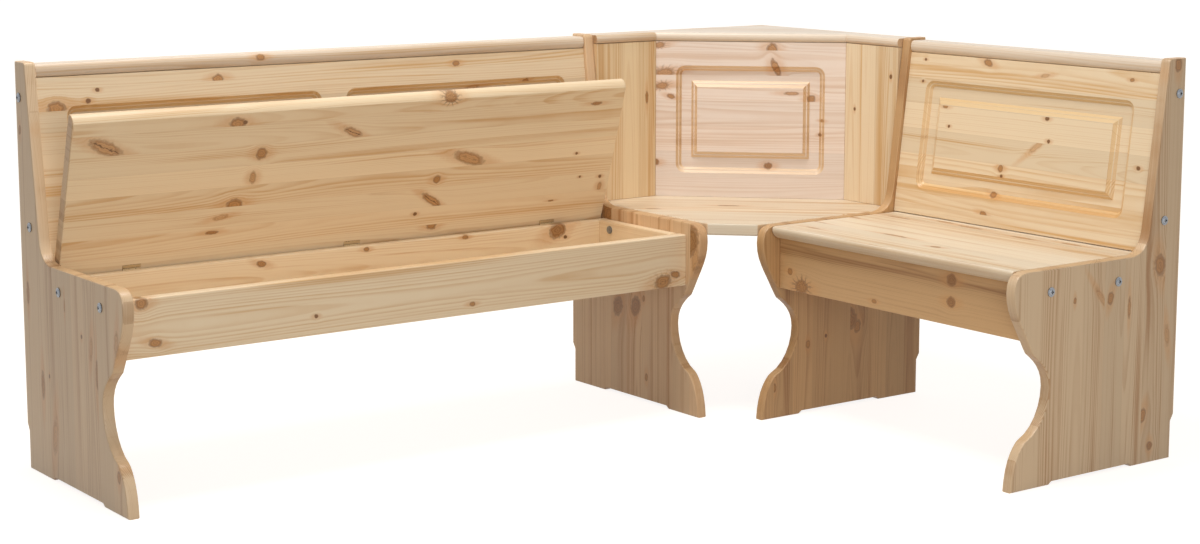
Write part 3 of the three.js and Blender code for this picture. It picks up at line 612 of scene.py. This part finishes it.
def pine_group():
    """Growth rings about a pith, streaks, fibres and the tone of each stave."""
    inputs = {
        "Place": "Vector",
        "Row": "Float",
        "Inside": "Float",
        "Bend": "Float",
        "Seed": "Float",
        "Pale": "Color",
        "Amber": "Color",
    }
    tree, given, result = new_group("pine", inputs, {"Color": "Color", "Rings": "Float"})
    along, _, deep = tree.split(given["Place"])
    chance = tree.chance(tree.join(given["Row"], given["Seed"], 0))
    first, second, third = tree.split(chance["Color"])
    apart = tree.plus(tree.times(given["Row"], ROW_STEP), tree.times(given["Seed"], SEED_STEP))

    # Place in the trunk, seen from the pith
    drift = tree.noise(tree.join(tree.times(along, PITH_DRIFT_RATE), apart, 0), 1, 1)[0]
    drift = tree.swing(drift, PITH_DRIFT)
    side = tree.swing(first, PITH_SPREAD)
    side = tree.plus(tree.plus(given["Inside"], given["Bend"]), side)
    depth = tree.plus(deep, tree.ramp(second, 0, 1, PITH_NEAR, PITH_FAR))
    depth = tree.plus(depth, drift)
    radius = tree.vector("LENGTH", tree.join(side, depth, 0))
    waver = figure(tree, WAVER, along, side, apart)
    radius = tree.plus(radius, tree.swing(waver, RING_WAVER))

    # Late wood of each year
    count = tree.over(radius, tree.ramp(third, 0, 1, NARROW_RING, WIDE_RING))
    year = tree.math("FLOOR", count)
    season = tree.minus(count, year)
    late = tree.times(tree.ramp(season, *LATE_START), tree.fade(season, *LATE_END))
    strong = tree.chance(tree.join(year, apart, 0))["Value"]
    late = tree.times(late, tree.plus(tree.times(strong, YEAR_SWING), YEAR_LEAST))

    # Streaks and fibres
    wide = figure(tree, WIDE_STREAKS, along, side, apart)
    narrow = figure(tree, NARROW_STREAKS, along, side, apart)
    wide = tree.ramp(wide, *WIDE_STREAK_EDGE)
    streak = tree.plus(wide, tree.ramp(narrow, *NARROW_STREAK_EDGE, 0, NARROW_STREAK_SHARE))
    fibre = figure(tree, FIBRES, along, radius, apart)

    warm = tree.plus(tree.times(late, LATE_SHARE), tree.times(streak, STREAK_SHARE))
    warm = tree.plus(warm, tree.swing(fibre, FIBRE_SHARE))
    warm = tree.plus(warm, tree.swing(second, STAVE_SHARE))
    color = tree.mix(tree.ramp(warm, *AMBER_RANGE), given["Pale"], given["Amber"])
    tone = tree.ramp(third, 0, 1, *STAVE_TONE)
    color = tree.mix(1, color, tree.join(tone, tone, tone), "MULTIPLY")
    tree.feed(result.inputs["Color"], color)
    tree.feed(result.inputs["Rings"], warm)
    return tree.node_tree


STAVES = stave_group()
KNOT = knot_group()
PINE = pine_group()


def spans(node, axes):
    """The lowest corner and the lengths of a board, along the given axes."""
    points = [v.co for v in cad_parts[node].data.vertices]
    low = Vector([min(p.dot(axis) for p in points) for axis in axes])
    high = Vector([max(p.dot(axis) for p in points) for axis in axes])
    return low, high - low


def add_knots(tree, board, size, place, row):
    """The masks of all of a board's knots, and the bend of the rings round them."""
    wobble = tree.noise(place, WOBBLE_RATE)[1]
    values = {0: tree.vector("SUBTRACT", wobble, (0.5, 0.5, 0.5)), "Scale": WOBBLE}
    wobble = tree.add("VectorMath", values, operation="SCALE").outputs["Vector"]
    masks = (0, 0, 0)
    bend = 0
    for along, across, kind, scale in board.knots:
        centre = Vector((along * size.x, across * size.y, 0))
        values = {
            "Place": place,
            "Wobble": wobble,
            "Row": row,
            "Centre": centre,
            "Radii": Vector((kind.length * scale * MM, kind.width * scale * MM, 1)),
            "Turn": Vector((0, 0, math.radians(kind.tilt))),
            "Own row": math.floor(centre.y / (board.stave * MM) + board.shift),
            "Dark": kind.dark,
            "Crack": kind.crack,
            "Rays": kind.rays,
            "Pale": kind.pale,
            "Masks": masks,
            "Bend": bend,
        }
        masks, bend = tree.use(KNOT, values)
    return masks, bend


def knot_color(tree, color, masks):
    """The wood's colour with halos, cores and dark parts of knots over it."""
    core, dark, halo = tree.split(masks)
    color = tree.mix(tree.times(halo, HALO_SHARE), color, HALO_TINT)
    color = tree.mix(tree.times(core, KNOT_SHARE), color, KNOT_TINT)
    return tree.mix(tree.times(dark, KNOT_DARK_SHARE), color, KNOT_DARK)


def slope_lacquer_and_shade_color(tree, color, normal, face):
    """The colour with gathered lacquer and painted shade where the surface slopes away from the
    board's face.
    """
    facing = tree.math("ABSOLUTE", tree.vector("DOT_PRODUCT", normal, face))
    shaded_slope = tree.times(tree.ramp(facing, *SLOPE_START), tree.fade(facing, *SLOPE_END))
    return tree.mix(shaded_slope, color, SLOPE_LACQUER_AND_SHADE_TINT, "MULTIPLY")


def end_color(tree, color, normal, grain, rings):
    """The colour with end grain where the surface is cut across the grain."""
    facing = tree.math("ABSOLUTE", tree.vector("DOT_PRODUCT", normal, grain))
    end = tree.mix(tree.ramp(rings, *END_RINGS), END_PALE, END_DARK)
    return tree.mix(tree.ramp(facing, *END_FACING, 0, END_SHARE), color, end)


def lacquer(tree, shader, place, color):
    """A thin coat over fine pores that run along the grain."""
    pores = tree.noise(tree.vector("MULTIPLY", place, PORE_RATE), 1)[0]
    values = {"Height": pores, "Strength": PORE_RELIEF, "Distance": PORE_DEPTH}
    bump = tree.add("Bump", values)
    tree.feed(shader.inputs["Base Color"], color)
    tree.feed(shader.inputs["Roughness"], tree.ramp(pores, *NOISE_RANGE, *WOOD_ROUGHNESS))
    tree.feed(shader.inputs["Normal"], bump.outputs[0])
    shader.inputs["Coat Weight"].default_value = COAT
    shader.inputs["Coat Roughness"].default_value = COAT_ROUGHNESS


def pine(board, seed):
    """The lacquered pine of one board, with its grain along the board's own axis."""
    axes = (board.grain, board.across, board.grain.cross(board.across))
    low, size = spans(board.node, axes)
    material, tree, shader = new_material("pine_" + board.node)
    own_frame = tree.add("TexCoord", {}).outputs
    turn = Matrix(axes).to_euler()
    values = {"Vector": own_frame["Object"], "Location": -low, "Rotation": turn}
    place = tree.add("Mapping", values, vector_type="POINT").outputs[0]
    values = {"Across": tree.split(place)[1], "Width": board.stave * MM, "Shift": board.shift}
    rows = tree.use(STAVES, values)
    masks, bend = add_knots(tree, board, size, place, rows["Row"])
    values = {
        "Place": place,
        "Row": rows["Row"],
        "Inside": rows["Inside"],
        "Bend": bend,
        "Seed": seed,
        "Pale": board.finish.pale,
        "Amber": board.finish.amber,
    }
    wood = tree.use(PINE, values)
    color = tree.mix(tree.times(rows["Glue"], GLUE_SHARE), wood["Color"], GLUE_TINT)
    if board.knots:
        color = knot_color(tree, color, masks)
    # Painted shade, with gathered lacquer, on the slopes of the routed mouldings
    if board.node in ROUTED:
        color = slope_lacquer_and_shade_color(tree, color, own_frame["Normal"], axes[2])
    color = end_color(tree, color, own_frame["Normal"], board.grain, wood["Rings"])
    lacquer(tree, shader, place, color)
    dress(board.node, material)
    soften(board.node, ARRIS)


def plating(name, metal):
    """Plated steel with a fine, slightly cloudy grain, and painted shade in its recesses."""
    material, tree, shader = new_material(name)
    place = tree.add("TexCoord", {}).outputs["Object"]
    cloud = tree.noise(place, CLOUD_RATE, 3)[0]
    pits = tree.noise(place, PIT_RATE)[0]
    color = tree.mix(cloud, metal.dull, metal.bright)
    # Painted shade: the deep colour where ambient occlusion finds a recess
    shade = tree.add("AmbientOcclusion", {"Distance": RECESS}, samples=RECESS_SAMPLES)
    color = tree.mix(tree.ramp(shade.outputs["AO"], *RECESS_EDGE), metal.deep, color)
    tree.feed(shader.inputs["Base Color"], color)
    tree.feed(shader.inputs["Roughness"], tree.ramp(cloud, *NOISE_RANGE, *METAL_ROUGHNESS))
    bump = tree.add("Bump", {"Height": pits, "Strength": PIT_RELIEF, "Distance": PIT_DEPTH})
    tree.feed(shader.inputs["Normal"], bump.outputs[0])
    shader.inputs["Metallic"].default_value = metal.metallic
    return material


def dress(node, material):
    """Puts one material on a node's whole mesh."""
    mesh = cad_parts[node].data
    mesh.materials.clear()
    mesh.materials.append(material)


def soften(node, width):
    """Rounds a node's sharp arrises a little, so that they catch the light."""
    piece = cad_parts[node]
    attributes = piece.data.attributes
    for name in ("sharp_edge", "sharp_face", "custom_normal"):
        if name in attributes:
            attributes.remove(attributes[name])
    weld = piece.modifiers.new("weld", "WELD")
    weld.merge_threshold = WELD
    flat = piece.modifiers.new("flat", "DECIMATE")
    flat.decimate_type = "DISSOLVE"
    flat.angle_limit = FLAT_ANGLE
    bevel = piece.modifiers.new("arris", "BEVEL")
    bevel.width = width
    bevel.segments = ARRIS_STEPS
    bevel.angle_limit = ARRIS_ANGLE
    bevel.use_clamp_overlap = True
    even = piece.modifiers.new("even", "WEIGHTED_NORMAL")
    even.keep_sharp = True
    even.weight = NORMAL_WEIGHT


def seen_plainly(tree):
    """1 where the camera, a reflection or clear glass shows the surface, and otherwise 0."""
    path = tree.add("LightPath", {}).outputs
    seen = tree.most(path["Is Camera Ray"], path["Is Glossy Ray"])
    return tree.most(seen, path["Is Transmission Ray"])


def floor():
    """A pale floor that glows white to the camera and still takes the bench's shadow."""
    bpy.ops.mesh.primitive_plane_add(size=FLOOR_SIZE)
    plane = bpy.context.object
    plane.name = "floor"
    material, tree, shader = new_material("pale_floor")
    shader.inputs["Base Color"].default_value = FLOOR_TINT
    shader.inputs["Roughness"].default_value = FLOOR_ROUGHNESS
    glow = tree.add("Emission", {"Strength": tree.times(seen_plainly(tree), FLOOR_GLOW)})
    both = tree.add("AddShader", {0: shader.outputs[0], 1: glow.outputs[0]})
    output = material.node_tree.nodes["Material Output"]
    tree.feed(output.inputs["Surface"], both.outputs[0])
    plane.data.materials.append(material)


def sky():
    """Even white light, and plain white where the camera sees past the floor."""
    world = bpy.data.worlds.new("studio")
    bpy.context.scene.world = world
    world.use_nodes = True
    tree = Tree(world.node_tree)
    shader = world.node_tree.nodes["Background"]
    level = tree.ramp(seen_plainly(tree), 0, 1, SKY_LEVEL, 1)
    tree.feed(shader.inputs["Strength"], level)
    shader.inputs["Color"].default_value = WHITE


def put(name, data, place, turn):
    """Puts a lamp or camera into the scene."""
    holder = bpy.data.objects.new(name, data)
    bpy.context.scene.collection.objects.link(holder)
    holder.location = place
    holder.rotation_euler = turn
    return holder


def lamp(name, place, size, power):
    """A square soft box turned to the middle of the bench."""
    light = bpy.data.lights.new(name, "AREA")
    light.shape = "SQUARE"
    light.size = size
    light.energy = power
    put(name, light, place, (LAMP_AIM - place).to_track_quat("-Z", "Y").to_euler())


def camera():
    """The photograph's place and framing."""
    lens = bpy.data.cameras.new("camera")
    lens.lens = CAMERA_LENS
    lens.sensor_width = CAMERA_SENSOR
    lens.shift_y = CAMERA_SHIFT
    turn = (math.radians(90 + CAMERA_PITCH), 0, -math.radians(CAMERA_YAW))
    bpy.context.scene.camera = put("camera", lens, CAMERA_PLACE, turn)


for seed, board in enumerate(BOARDS, 1):
    pine(board, seed)
METALS = {
    "connector": plating("bright_zinc", BRIGHT_ZINC),
    "hinge": plating("yellow_zinc", YELLOW_ZINC),
}
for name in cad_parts:
    for kind, metal in METALS.items():
        if kind in name:
            dress(name, metal)
            soften(name, METAL_ARRIS)
floor()
sky()
lamp("key", KEY_PLACE, KEY_SIZE, KEY_POWER)
lamp("fill", FILL_PLACE, FILL_SIZE, FILL_POWER)
camera()
bpy.context.scene.view_settings.view_transform = "Standard"
